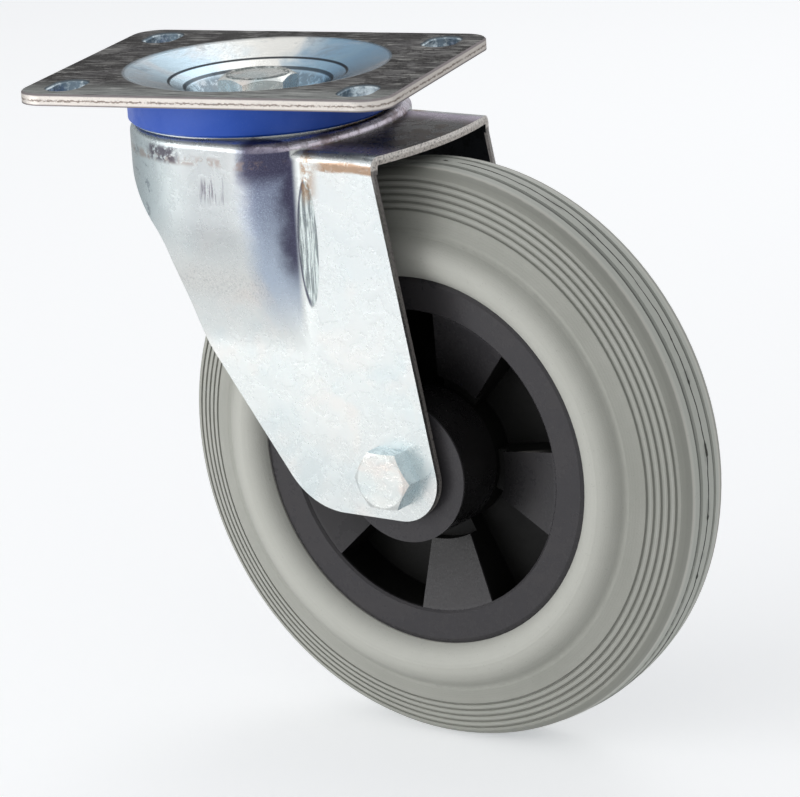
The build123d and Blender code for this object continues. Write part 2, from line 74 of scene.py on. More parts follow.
# ---------------------------------------------------------------- node helpers
class Sheet:
    """A small helper that adds nodes to one tree and links them by name."""

    def __init__(self, tree):
        self.tree = tree
        self.count = 0

    def add(self, kind, inputs=None, **settings):
        node = self.tree.nodes.new(kind)
        self.count += 1
        node.location = (220 * (self.count % 8), -260 * (self.count // 8))
        for name, value in settings.items():
            setattr(node, name, value)
        for key, value in (inputs or {}).items():
            self.feed(node.inputs[key], value)
        return node

    def feed(self, socket, value):
        if isinstance(value, bpy.types.NodeSocket):
            self.tree.links.new(value, socket)
        else:
            socket.default_value = value

    def math(self, operation, a, b=None):
        node = self.add("ShaderNodeMath", operation=operation)
        for index, value in enumerate((a, b)):
            if value is not None:
                self.feed(node.inputs[index], value)
        return node.outputs[0]

    def span(self, value, low, high, out_low=0.0, out_high=1.0, smooth=True):
        """Runs from out_low to out_high while value runs from low to high."""
        if low > high:
            low, high, out_low, out_high = high, low, out_high, out_low
        node = self.add("ShaderNodeMapRange", interpolation_type="SMOOTHSTEP" if smooth else "LINEAR")
        for name, item in (("Value", value), ("From Min", low), ("From Max", high),
                           ("To Min", out_low), ("To Max", out_high)):
            self.feed(node.inputs[name], item)
        return node.outputs[0]

    def band(self, value, low, high, edge):
        """1 between low and high, fading to 0 over edge on each side."""
        rise = self.span(value, low - edge, low + edge)
        return self.math("MULTIPLY", rise, self.span(value, high - edge, high + edge, 1.0, 0.0))

    def all_of(self, *masks):
        result = masks[0]
        for mask in masks[1:]:
            result = self.math("MULTIPLY", result, mask)
        return result

    def mix(self, mask, a, b):
        """Colour a where mask is 0 and colour b where it is 1."""
        node = self.add("ShaderNodeMix", data_type="RGBA")
        self.feed(node.inputs[0], mask)
        self.feed(node.inputs[6], a)
        self.feed(node.inputs[7], b)
        return node.outputs[2]

    def tone(self, mask, share, a, b):
        """Colour a with a share of colour b laid over it where the mask shows."""
        return self.mix(self.math("MULTIPLY", mask, share), a, b)

    def noise(self, vector, scale, detail=4.0, rough=0.55, distortion=0.0):
        node = self.add("ShaderNodeTexNoise", {"Vector": vector, "Scale": scale, "Detail": detail,
                                               "Roughness": rough, "Distortion": distortion})
        return node.outputs["Fac"]

    def split(self, vector):
        node = self.add("ShaderNodeSeparateXYZ", {"Vector": vector})
        return node.outputs[0], node.outputs[1], node.outputs[2]

    def join(self, x, y, z):
        return self.add("ShaderNodeCombineXYZ", {"X": x, "Y": y, "Z": z}).outputs[0]

    def length(self, *parts):
        total = None
        for part in parts:
            square = self.math("MULTIPLY", part, part)
            total = square if total is None else self.math("ADD", total, square)
        return self.math("SQRT", total)

    def effect(self, name, **inputs):
        """Places one of the shared effects in this tree and returns its only output."""
        node = self.add("ShaderNodeGroup")
        node.node_tree = bpy.data.node_groups[name]
        for key, value in inputs.items():
            self.feed(node.inputs[key.replace("_", " ")], value)
        return node.outputs[0]


def rgb(r, g, b):
    """A colour given as it shows on a screen, 0 to 255, in the units that shaders use."""
    def line(v):
        v = v / 255
        return v / 12.92 if v <= 0.04045 else ((v + 0.055) / 1.055) ** 2.4
    return (line(r), line(g), line(b), 1.0)


def effect_group(name, out_kind, **inputs):
    """An empty shared effect with named inputs and one output; gives its sheet, inputs and output."""
    tree = bpy.data.node_groups.new(name, "ShaderNodeTree")
    for key, (kind, value) in inputs.items():
        socket = tree.interface.new_socket(key.replace("_", " "), in_out="INPUT", socket_type=kind)
        if value is not None:
            socket.default_value = value
    tree.interface.new_socket("Out", in_out="OUTPUT", socket_type=out_kind)
    sheet = Sheet(tree)
    entry = sheet.add("NodeGroupInput")
    return sheet, entry.outputs, sheet.add("NodeGroupOutput").inputs[0]


def make_effects():
    """Blotches, drawn streaks, fine grain and passivation tints that several finishes share."""
    value, vector, tint = "NodeSocketFloat", "NodeSocketVector", "NodeSocketColor"
    sheet, entry, out = effect_group("blotches", value, Vector=(vector, None), Scale=(value, 0.2),
                                     Low=(value, 0.45), High=(value, 0.6))
    coarse = sheet.noise(entry["Vector"], entry["Scale"], 5.0, 0.6, 0.4)
    fine = sheet.noise(entry["Vector"], sheet.math("MULTIPLY", entry["Scale"], 6.0), 3.0, 0.7)
    both = sheet.math("ADD", sheet.math("MULTIPLY", coarse, 0.7), sheet.math("MULTIPLY", fine, 0.3))
    sheet.feed(out, sheet.add("ShaderNodeMapRange", {"Value": both, "From Min": entry["Low"],
                                                     "From Max": entry["High"]},
                              interpolation_type="SMOOTHSTEP").outputs[0])

    sheet, entry, out = effect_group("streaks", value, Vector=(vector, None), Across=(value, 1.0),
                                     Along=(value, 0.05))
    x, y, z = sheet.split(entry["Vector"])
    stretched = sheet.join(sheet.math("MULTIPLY", x, entry["Across"]),
                           sheet.math("MULTIPLY", y, entry["Along"]),
                           sheet.math("MULTIPLY", z, entry["Across"]))
    sheet.feed(out, sheet.noise(stretched, 1.0, 6.0, 0.7))

    sheet, entry, out = effect_group("grain", value, Vector=(vector, None), Scale=(value, 4.0),
                                     Amount=(value, 0.5))
    specks = sheet.noise(entry["Vector"], entry["Scale"], 2.0, 0.8)
    start = sheet.math("SUBTRACT", 0.72, sheet.math("MULTIPLY", entry["Amount"], 0.3))
    sheet.feed(out, sheet.add("ShaderNodeMapRange", {"Value": specks, "From Min": start,
                                                     "From Max": 0.72}).outputs[0])

    sheet, entry, out = effect_group("passivation tint", tint, Vector=(vector, None),
                                     Color=(tint, (0.8, 0.8, 0.8, 1)), Amount=(value, 0.5))
    cool = sheet.noise(entry["Vector"], 0.035, 3.0, 0.5, 0.6)
    warm = sheet.noise(sheet.add("ShaderNodeVectorMath", {0: entry["Vector"], 1: (31.0, 17.0, 5.0)},
                                 operation="ADD").outputs[0], 0.05, 3.0, 0.5, 0.6)
    cooled = sheet.tone(sheet.span(cool, 0.48, 0.7), entry["Amount"], entry["Color"], rgb(176, 200, 208))
    sheet.feed(out, sheet.tone(sheet.span(warm, 0.5, 0.72), entry["Amount"], cooled, rgb(236, 218, 208)))


def new_material(name):
    material = bpy.data.materials.new(name)
    material.use_nodes = True
    material.node_tree.nodes.clear()
    sheet = Sheet(material.node_tree)
    shader = sheet.add("ShaderNodeBsdfPrincipled")
    out = sheet.add("ShaderNodeOutputMaterial", {"Surface": shader.outputs[0]})
    out.location = (2200, 300)
    shader.location = (1900, 300)
    return material, sheet, shader


def place(sheet, origin=(0, 0, 0), turn=0.0):
    """Millimetres and surface direction, both seen from a place and heading on the part."""
    coords = sheet.add("ShaderNodeTexCoord")
    seen = sheet.add("ShaderNodeMapping", {"Vector": coords.outputs["Object"]}, vector_type="TEXTURE")
    seen.inputs["Location"].default_value = origin
    seen.inputs["Rotation"].default_value = (0, 0, turn)
    facing = sheet.add("ShaderNodeMapping", {"Vector": coords.outputs["Normal"]}, vector_type="TEXTURE")
    facing.inputs["Rotation"].default_value = (0, 0, turn)
    spot = sheet.add("ShaderNodeVectorMath", {0: seen.outputs[0], "Scale": 1000.0},
                     operation="SCALE").outputs[0]
    return spot, facing.outputs[0]


def bump(sheet, shader, height, distance):
    node = sheet.add("ShaderNodeBump", {"Height": height, "Distance": distance, "Strength": 1.0})
    sheet.feed(shader.inputs["Normal"], node.outputs[0])


def apply_to(names, material):
    for name in names:
        data = NODES[name].data
        data.materials.clear()
        data.materials.append(material)


# ---------------------------------------------------------------- settings
def colour(name, description, value):
    return bpy.props.FloatVectorProperty(name=name, description=description, subtype="COLOR", size=4,
                                         min=0.0, max=1.0, default=rgb(*value))


def size(name, description, value):
    return bpy.props.FloatProperty(name=name, description=description, unit="LENGTH", default=value)


def angle(name, description, value):
    return bpy.props.FloatProperty(name=name, description=description, subtype="ANGLE",
                                   default=radians(value))


class CASTOR_PG_metal(bpy.types.PropertyGroup):
    """Colours of the zinc-plated parts"""
    plate_top: colour("Plate top", "Dull rolled top of the mounting plate", (84, 83, 85))
    plate_dark: colour("Plate dark", "Darker clouds of the plate's top", (42, 40, 43))
    dish: colour("Dish", "Bright pressed dish of the mounting plate", (246, 246, 242))
    cut_edge: colour("Cut edge", "Sheared edge of the plate and fork", (214, 208, 202))
    zinc: colour("Zinc", "Bright plating of the fork", (214, 218, 217))
    # painted dark reflection down the corner of the fork's flank
    zinc_shade: colour("Zinc shade", "Dark stretch marks of the plating", (56, 52, 76))
    # painted dark reflection on the fork's shelf
    shelf_shade: colour("Shelf shade", "Dark plating on the fork's shelf", (24, 17, 24))
    # painted shade for the inside of the fork, which is also rougher and less metallic
    inside: colour("Inside", "Unpolished inside of the fork", (34, 37, 42))
    bolt: colour("Bolt", "Plating of bolts, nuts and washers", (226, 229, 226))
    steel: colour("Steel", "Bare bearing steel", (176, 176, 174))


class CASTOR_PG_plastic(bpy.types.PropertyGroup):
    """Colours of the moulded parts"""
    ring: colour("Dust ring", "Blue dust ring", (20, 78, 182))
    rim: colour("Wheel centre", "Black wheel centre", (62, 61, 64))
    # painted shade for the deep walls between the spokes and round the hub
    pocket_shade: colour("Pocket", "Deep walls between the spokes", (6, 6, 5))
    nylon: colour("Nylon", "Lock-nut inserts and roller cage", (210, 208, 196))


class CASTOR_PG_tyre(bpy.types.PropertyGroup):
    """Colours of the tyre"""
    rubber: colour("Rubber", "Grey tyre rubber", (170, 171, 164))
    shade: colour("Rubber shade", "Darker clouds of the rubber", (150, 152, 144))
    bloom: colour("Bloom", "Paler rubber beside the rim", (204, 205, 198))
    # dirt and painted shade in the side grooves
    groove_dirt_and_shade: colour("Groove", "Dirt in the side grooves", (104, 106, 100))
    # painted shade: the mould line's dark colour stands in for the shade in a crack along the tread
    crack: colour("Mould line", "Blackened rubber of the mould line", (38, 38, 35))
    radius: size("Tread radius", "Radius of the tread, where the mould line lies", 0.1)
    line_depth: size("Line depth", "How far the middle of the mould line lies under the tread", 0.0002)
    line_thickness: size("Line thickness", "Half the width of the mould line", 0.00035)
    line_wander: size("Line wander", "How far the mould line strays to either side", 0.0034)


class CASTOR_PG_stage(bpy.types.PropertyGroup):
    """Camera and studio"""
    azimuth: angle("Azimuth", "Direction of the camera round the part", 111.51)
    elevation: angle("Elevation", "Height of the camera", 16.13)
    roll: angle("Roll", "Tilt of the camera", -3.534)
    place: bpy.props.FloatVectorProperty(name="Camera place", description="Where the camera stands",
                                         size=3, unit="LENGTH", subtype="TRANSLATION",
                                         default=(1.2309, 0.5298, 0.2657))
    lens: bpy.props.FloatProperty(name="Lens", description="Focal length in mm", default=180.0)
    floor: bpy.props.FloatVectorProperty(name="Floor", description="Floor and backdrop", size=4,
                                         subtype="COLOR", min=0.0, max=1.0, default=(0.9, 0.9, 0.9, 1.0))


# ---------------------------------------------------------------- finishes
def plate_finish(metal):
    material, sheet, shader = new_material("plate zinc")
    spot, facing = place(sheet)
    x, y, z = sheet.split(spot)
    nz = sheet.split(facing)[2]
    r = sheet.length(x, y)
    streak = sheet.effect("streaks", Vector=spot, Across=1.1, Along=0.07)
    blotch = sheet.effect("blotches", Vector=spot, Scale=0.035, Low=0.44, High=0.56)
    speck = sheet.effect("grain", Vector=spot, Scale=2.2, Amount=0.8)
    top = sheet.mix(blotch, metal.plate_top, metal.plate_dark)
    top = sheet.mix(sheet.span(streak, 0.5, 0.62, 0.0, 0.85), top, rgb(182, 182, 178))
    top = sheet.mix(sheet.span(streak, 0.49, 0.4, 0.0, 0.9), top, rgb(20, 18, 20))
    smudge = sheet.effect("blotches", Vector=spot, Scale=0.09, Low=0.49, High=0.54)
    top = sheet.tone(smudge, 0.75, top, rgb(24, 21, 22))
    top = sheet.tone(speck, 0.55, top, rgb(150, 148, 146))
    # streaks grow lighter towards the +x edge of the plate's top
    lighter_front_streaks = sheet.all_of(sheet.span(x, 30.0, 50.0), sheet.span(streak, 0.3, 0.6))
    top = sheet.tone(lighter_front_streaks, 0.7, top, rgb(186, 190, 188))
    # painted reflections on the dish: pale blue on one side of the swivel axis and darker blue-grey on the
    # other, with a wavy border
    aside = sheet.math("SUBTRACT", sheet.math("MULTIPLY", y, 0.93), sheet.math("MULTIPLY", x, 0.367))
    aside = sheet.math("DIVIDE", aside, sheet.math("MAXIMUM", r, 1.0))
    sway = sheet.math("MULTIPLY", sheet.math("SUBTRACT", sheet.noise(spot, 0.04, 3.0, 0.5, 0.8), 0.5), 1.6)
    aside = sheet.math("ADD", aside, sway)
    dish = sheet.mix(sheet.span(aside, -0.2, -0.75), metal.dish, rgb(202, 224, 238))
    dish = sheet.mix(sheet.span(aside, 0.25, 0.8), dish, rgb(146, 178, 204))
    dish = sheet.effect("passivation tint", Vector=spot, Color=dish, Amount=0.3)
    smear = sheet.effect("blotches", Vector=spot, Scale=0.05, Low=0.53, High=0.62)
    dish = sheet.tone(smear, 0.4, dish, rgb(146, 158, 168))
    # painted shade in the recess round the king bolt, darkest near the bolt
    well = sheet.all_of(sheet.span(r, 24.5, 23.5),
                        sheet.effect("blotches", Vector=spot, Scale=0.2, Low=0.44, High=0.52))
    dish = sheet.tone(well, 0.55, dish, rgb(78, 92, 104))
    dish = sheet.tone(sheet.span(r, 18.0, 14.0), 0.8, dish, rgb(40, 48, 56))
    # painted shade along the dish's creases and its lip
    for line_r, width, depth in ((30.5, 0.45, 0.95), (25.2, 0.6, 0.85), (20.1, 0.7, 0.85)):
        line = sheet.band(r, line_r - width, line_r + width, 0.25)
        dish = sheet.tone(line, depth, dish, rgb(50, 55, 62))
    lip = sheet.band(r, 45.2, 45.9, 0.5)
    dish = sheet.tone(lip, 0.5, dish, rgb(70, 76, 82))
    flat = sheet.span(r, 45.1, 46.4)
    color = sheet.mix(flat, dish, top)
    under = sheet.mix(sheet.effect("blotches", Vector=spot, Scale=0.07, Low=0.4, High=0.6),
                      rgb(176, 178, 178), rgb(140, 142, 144))
    color = sheet.mix(sheet.span(nz, -0.5, -0.2, 1.0, 0.0), color, under)
    upright = sheet.all_of(sheet.span(nz, 0.97, 0.93), sheet.span(nz, -0.9, -0.7),
                           sheet.span(r, 47.0, 48.0))
    outside = sheet.math("MAXIMUM", sheet.span(sheet.math("ABSOLUTE", x), 52.0, 53.0),
                         sheet.span(sheet.math("ABSOLUTE", y), 64.0, 65.0))
    outside = sheet.math("MAXIMUM", outside, sheet.span(r, 76.5, 77.5))
    burr = sheet.effect("blotches", Vector=spot, Scale=0.7, Low=0.44, High=0.56)
    broken = sheet.effect("blotches", Vector=spot, Scale=0.25, Low=0.36, High=0.5)
    low_line = sheet.math("ADD", z, sheet.math("MULTIPLY", burr, 0.35))
    shear = sheet.all_of(sheet.band(low_line, -2.3, -1.8, 0.25), broken)
    sheared = sheet.tone(shear, 0.85, metal.cut_edge, rgb(92, 74, 62))
    sheared = sheet.tone(sheet.span(z, -0.9, -0.4), 0.8, sheared, rgb(104, 98, 104))
    sheared = sheet.tone(sheet.span(z, -3.3, -3.8), 0.85, sheared, rgb(96, 90, 94))
    sheared = sheet.tone(sheet.effect("grain", Vector=spot, Scale=1.6, Amount=0.4), 0.6, sheared,
                         rgb(150, 156, 160))
    walls = sheet.mix(sheet.effect("blotches", Vector=spot, Scale=0.12, Low=0.44, High=0.56),
                      rgb(206, 218, 224), rgb(118, 134, 146))
    walls = sheet.mix(sheet.span(z, -0.7, -0.2), walls, rgb(84, 92, 98))
    color = sheet.mix(upright, color, sheet.mix(outside, walls, sheared))
    sheet.feed(shader.inputs["Base Color"], color)
    shader.inputs["Metallic"].default_value = 0.85
    shader.inputs["Specular Tint"].default_value = (0.3, 0.3, 0.3, 1.0)
    rough = sheet.mix(flat, (0.2, 0.2, 0.2, 1), (0.42, 0.42, 0.42, 1))
    sheet.feed(shader.inputs["Roughness"], rough)
    bump(sheet, shader, sheet.math("ADD", streak, sheet.math("MULTIPLY", blotch, 0.4)), 0.00008)
    apply_to(("top_plate",), material)


def fork_finish(metal):
    material, sheet, shader = new_material("fork zinc")
    spot, facing = place(sheet, turn=TRAIL_TURN)
    x, y, z = sheet.split(spot)
    nx, ny, nz = sheet.split(facing)
    side = sheet.math("ABSOLUTE", y)
    wander = sheet.math("MULTIPLY", sheet.math("SUBTRACT", sheet.noise(spot, 0.12, 4.0, 0.6), 0.5), 6.0)
    level = sheet.math("ADD", z, sheet.math("MULTIPLY", wander, 0.35))
    upright = sheet.join(x, y, sheet.math("MULTIPLY", z, 0.06))
    drawn = sheet.noise(upright, 0.9, 5.0, 0.7)
    speck = sheet.effect("grain", Vector=spot, Scale=2.6, Amount=0.75)
    fine = sheet.effect("grain", Vector=spot, Scale=5.0, Amount=0.9)
    blotch = sheet.effect("blotches", Vector=spot, Scale=0.16, Low=0.46, High=0.58)

    color = sheet.effect("passivation tint", Vector=spot, Color=metal.zinc, Amount=0.22)
    on_drum = sheet.span(x, 40.0, 30.0)
    # painted reflection: the front of the drum is darker and cooler
    cool = sheet.all_of(sheet.span(x, 12.0, -24.0), sheet.span(z, -62.0, -40.0))
    color = sheet.tone(cool, 0.85, color, rgb(162, 176, 180))
    middle = sheet.all_of(sheet.band(x, -2.0, 24.0, 8.0), sheet.span(z, -66.0, -44.0), on_drum)
    color = sheet.tone(middle, 0.85, color, rgb(172, 176, 178))

    # flat of the legs, a little darker towards the top
    leg = sheet.all_of(sheet.span(x, 41.0, 46.0), sheet.span(z, -110.0, -46.0))
    color = sheet.tone(leg, 0.6, color, rgb(186, 191, 193))

    # painted dark reflection down the corner of the flank, darkest beside the hollow and sparkling lower
    # down
    shifted = sheet.math("ADD", x, wander)
    off_leg = sheet.span(side, 35.6, 36.6)
    reflected = sheet.all_of(sheet.span(shifted, 19.0, 30.0), sheet.span(x, 41.6, 39.8),
                           sheet.span(z, -88.0, -62.0), off_leg)
    deep = sheet.mix(sheet.span(level, -66.0, -26.0), rgb(168, 180, 196), rgb(112, 120, 146))
    deep = sheet.tone(speck, 0.8, deep, rgb(176, 192, 212))
    color = sheet.tone(reflected, 0.95, color, deep)
    hooked = sheet.math("MAXIMUM", sheet.span(shifted, 32.5, 37.5), sheet.span(level, -33.0, -26.0))
    core = sheet.all_of(hooked, sheet.span(shifted, 21.0, 27.0), sheet.span(x, 42.0, 41.0),
                        sheet.span(level, -70.0, -56.0), off_leg)
    dark = sheet.tone(speck, 0.35, metal.zinc_shade, rgb(120, 120, 150))
    color = sheet.tone(core, 0.9, color, dark)
    # drawn lines on a long scuff beside the hollow corner
    across = sheet.math("DIVIDE", sheet.math("SUBTRACT", x, 42.6), 3.8)
    down = sheet.math("DIVIDE", sheet.math("ADD", z, 51.0), 21.5)
    lens = sheet.length(across, down)
    hollow = sheet.all_of(sheet.span(lens, 1.03, 0.97), sheet.span(side, 34.8, 35.2))
    lines = sheet.mix(sheet.span(drawn, 0.44, 0.56), rgb(126, 134, 136), rgb(200, 209, 208))
    color = sheet.mix(hollow, color, lines)
    rim_line = sheet.all_of(sheet.band(lens, 0.9, 1.02, 0.05), sheet.span(across, 0.1, -0.2),
                            sheet.span(side, 34.8, 35.2))
    color = sheet.tone(rim_line, 0.8, color, rgb(64, 62, 84))
    # stain beside the hollow corner, and a painted brown reflection under the fold
    stain = sheet.all_of(sheet.span(x, 49.0, 43.0), sheet.span(x, 40.5, 42.0),
                         sheet.span(level, -40.0, -33.0),
                         sheet.effect("blotches", Vector=spot, Scale=0.3, Low=0.38, High=0.52))
    color = sheet.tone(stain, 0.75, color, rgb(146, 112, 76))
    # painted brown reflection under the fold
    fold = sheet.all_of(sheet.span(x, 45.0, 51.0), sheet.band(level, -26.0, -22.6, 0.5),
                        sheet.effect("blotches", Vector=spot, Scale=0.5, Low=0.3, High=0.46),
                        sheet.span(side, 34.0, 35.0))
    color = sheet.tone(fold, 0.85, color, rgb(144, 112, 82))
    # mottled marks under the drum's shoulder
    ring_mark = sheet.all_of(sheet.band(level, -25.2, -22.4, 0.8), on_drum, sheet.span(z, -19.6, -21.0),
                             blotch)
    color = sheet.tone(ring_mark, 0.6, color, rgb(140, 122, 112))
    dark_spot = sheet.all_of(sheet.band(x, -16.0, -2.0, 2.0), sheet.band(level, -25.0, -19.6, 1.2),
                             sheet.effect("blotches", Vector=spot, Scale=0.4, Low=0.4, High=0.52))
    color = sheet.tone(dark_spot, 0.9, color, rgb(72, 66, 78))
    runs = sheet.all_of(sheet.band(x, 6.0, 17.0, 1.2), sheet.band(z, -37.0, -30.0, 2.5),
                        sheet.span(drawn, 0.46, 0.6))
    color = sheet.tone(runs, 0.75, color, rgb(92, 84, 98))
    edge_marks = sheet.all_of(sheet.span(x, -12.0, -20.0), sheet.span(z, -19.0, -22.0),
                              sheet.span(z, -66.0, -58.0),
                              sheet.effect("blotches", Vector=spot, Scale=0.22, Low=0.55, High=0.6))
    color = sheet.tone(edge_marks, 0.6, color, rgb(92, 102, 112))
    # raised top and shelf: painted dark reflection on the shelf, lighter towards its sides
    r = sheet.length(x, y)
    shelf = sheet.all_of(sheet.span(nz, 0.82, 0.95), sheet.span(z, -21.0, -20.4), sheet.span(x, 36.0, 41.0),
                         sheet.span(side, 32.0, 29.0))
    painted_shelf_reflection = sheet.mix(blotch, metal.shelf_shade, rgb(66, 46, 34))
    painted_shelf_reflection = sheet.mix(sheet.span(side, 17.0, 29.0), painted_shelf_reflection, rgb(196, 184, 204))
    color = sheet.tone(shelf, 0.95, color, painted_shelf_reflection)
    # painted highlight, lilac-white with darker blotches, on the slope between the dust ring and the shelf
    slope = sheet.all_of(sheet.band(z, -19.8, -16.9, 0.3), sheet.span(x, 24.0, 34.0),
                         sheet.span(r, 54.0, 52.0))
    color = sheet.tone(slope, 0.75, color, sheet.mix(blotch, rgb(214, 206, 222), rgb(150, 138, 150)))
    # sheared edges
    cut_legs = sheet.all_of(sheet.span(sheet.math("ABSOLUTE", ny), 0.5, 0.3), sheet.span(z, -24.0, -25.0),
                            sheet.span(side, 31.0, 32.2),
                            sheet.math("MAXIMUM", sheet.span(x, 60.0, 64.0), sheet.span(z, -84.0, -90.0)))
    cut_under = sheet.all_of(sheet.span(nz, -0.25, -0.4), sheet.span(z, -24.2, -24.8))
    cut_rear = sheet.all_of(sheet.span(nx, 0.45, 0.6), sheet.span(x, 66.0, 68.0),
                            sheet.span(z, -30.0, -28.0))
    cut = sheet.math("MAXIMUM", cut_legs, sheet.math("MAXIMUM", cut_under, cut_rear))
    # inside of the pressing: painted shade, on rougher and less metallic plating
    stand = sheet.math("MULTIPLY", sheet.span(z, -90.0, -42.0, 0.0, 10.0), sheet.span(x, 41.0, 22.0))
    wall = sheet.math("ADD", stand, 35.5)
    front = sheet.math("DIVIDE", sheet.math("MINIMUM", x, 0.0), 44.3)
    depth = sheet.length(front, sheet.math("DIVIDE", side, wall))
    inside = sheet.all_of(sheet.span(depth, 0.965, 0.955), sheet.span(z, -21.2, -21.8))
    color = sheet.mix(inside, color, sheet.mix(blotch, metal.inside, rgb(20, 22, 26)))
    cut_tint = sheet.mix(sheet.effect("grain", Vector=spot, Scale=1.3, Amount=0.8), metal.cut_edge,
                         rgb(86, 84, 84))
    cut_tint = sheet.tone(cut_legs, 0.7, cut_tint, rgb(58, 56, 58))
    color = sheet.tone(cut, 0.9, color, cut_tint)
    color = sheet.mix(sheet.all_of(fine, sheet.span(x, 60.0, 10.0, 0.0, 0.12)), color, rgb(150, 156, 162))
    sheet.feed(shader.inputs["Base Color"], color)
    shader.inputs["Specular Tint"].default_value = (0.55, 0.55, 0.55, 1.0)
    sheet.feed(shader.inputs["Metallic"], sheet.span(inside, 0.0, 1.0, 0.85, 0.5))
    rough = sheet.span(inside, 0.0, 1.0, 0.26, 0.6)
    sheet.feed(shader.inputs["Roughness"], sheet.math("ADD", rough, sheet.math("MULTIPLY", blotch, 0.08)))
    relief = sheet.math("MULTIPLY", drawn, sheet.math("ADD", hollow, 0.15))
    bump(sheet, shader, sheet.math("ADD", relief, sheet.math("MULTIPLY", blotch, 0.15)), 0.0002)
    apply_to(("fork",), material)


def bolt_finish(metal):
    material, sheet, shader = new_material("bolt zinc")
    spot, facing = place(sheet, turn=TRAIL_TURN)
    z = sheet.split(spot)[2]
    blotch = sheet.effect("blotches", Vector=spot, Scale=0.22, Low=0.46, High=0.6)
    color = sheet.effect("passivation tint", Vector=spot, Color=metal.bolt, Amount=0.6)
    color = sheet.tone(blotch, 0.3, color, rgb(170, 178, 182))
    speck = sheet.effect("grain", Vector=spot, Scale=3.0, Amount=0.45)
    color = sheet.tone(speck, 0.35, color, rgb(132, 130, 126))
    ny, nz = sheet.split(facing)[1:]
    # painted bluish reflection on the hex flats of the axle bolt and nut
    flats = sheet.all_of(sheet.span(sheet.math("ABSOLUTE", ny), 0.6, 0.4), sheet.span(z, -60.0, -70.0))
    color = sheet.tone(flats, 0.8, color, rgb(212, 230, 238))
    # faint painted shade in blotches on upright faces near the top
    upright = sheet.all_of(sheet.span(sheet.math("ABSOLUTE", nz), 0.6, 0.4), sheet.span(z, -30.0, -20.0))
    color = sheet.tone(sheet.all_of(upright, blotch), 0.1, color, rgb(150, 164, 170))
    top_ring = sheet.all_of(sheet.span(z, -3.6, -3.3),
                            sheet.effect("blotches", Vector=spot, Scale=0.5, Low=0.42, High=0.52))
    color = sheet.tone(top_ring, 0.8, color, rgb(84, 94, 96))
    sheet.feed(shader.inputs["Base Color"], color)
    shader.inputs["Metallic"].default_value = 0.8
    shader.inputs["Specular Tint"].default_value = (0.45, 0.45, 0.45, 1.0)
    sheet.feed(shader.inputs["Roughness"], sheet.span(blotch, 0.0, 1.0, 0.24, 0.4))
    bump(sheet, shader, blotch, 0.00005)
    apply_to(("lower_race_cup", "king_bolt", "king_washer", "king_nut", "axle_bolt", "axle_washer",
              "axle_nut"), material)


def steel_finish(metal):
    material, sheet, shader = new_material("bearing steel")
    spot = place(sheet, turn=TRAIL_TURN)[0]
    scuff = sheet.effect("streaks", Vector=spot, Across=0.9, Along=0.5)
    sheet.feed(shader.inputs["Base Color"],
               sheet.mix(sheet.span(scuff, 0.5, 0.7, 0.0, 0.5), metal.steel, rgb(112, 112, 112)))
    shader.inputs["Metallic"].default_value = 0.95
    sheet.feed(shader.inputs["Roughness"], sheet.span(scuff, 0.3, 0.7, 0.16, 0.32))
    apply_to(("upper_balls", "lower_balls", "rollers", "axle_sleeve"), material)


def ring_finish(plastic):
    material, sheet, shader = new_material("ring blue")
    spot = place(sheet)[0]
    cloud = sheet.effect("blotches", Vector=spot, Scale=0.05, Low=0.4, High=0.62)
    color = sheet.tone(cloud, 0.35, plastic.ring, rgb(22, 72, 172))
    scuff = sheet.effect("grain", Vector=spot, Scale=1.4, Amount=0.3)
    color = sheet.tone(scuff, 0.25, color, rgb(96, 116, 178))
    sheet.feed(shader.inputs["Base Color"], color)
    sheet.feed(shader.inputs["Roughness"], sheet.span(cloud, 0.0, 1.0, 0.38, 0.5))
    bump(sheet, shader, sheet.noise(spot, 1.2, 3.0, 0.6), 0.00003)
    apply_to(("dust_ring",), material)


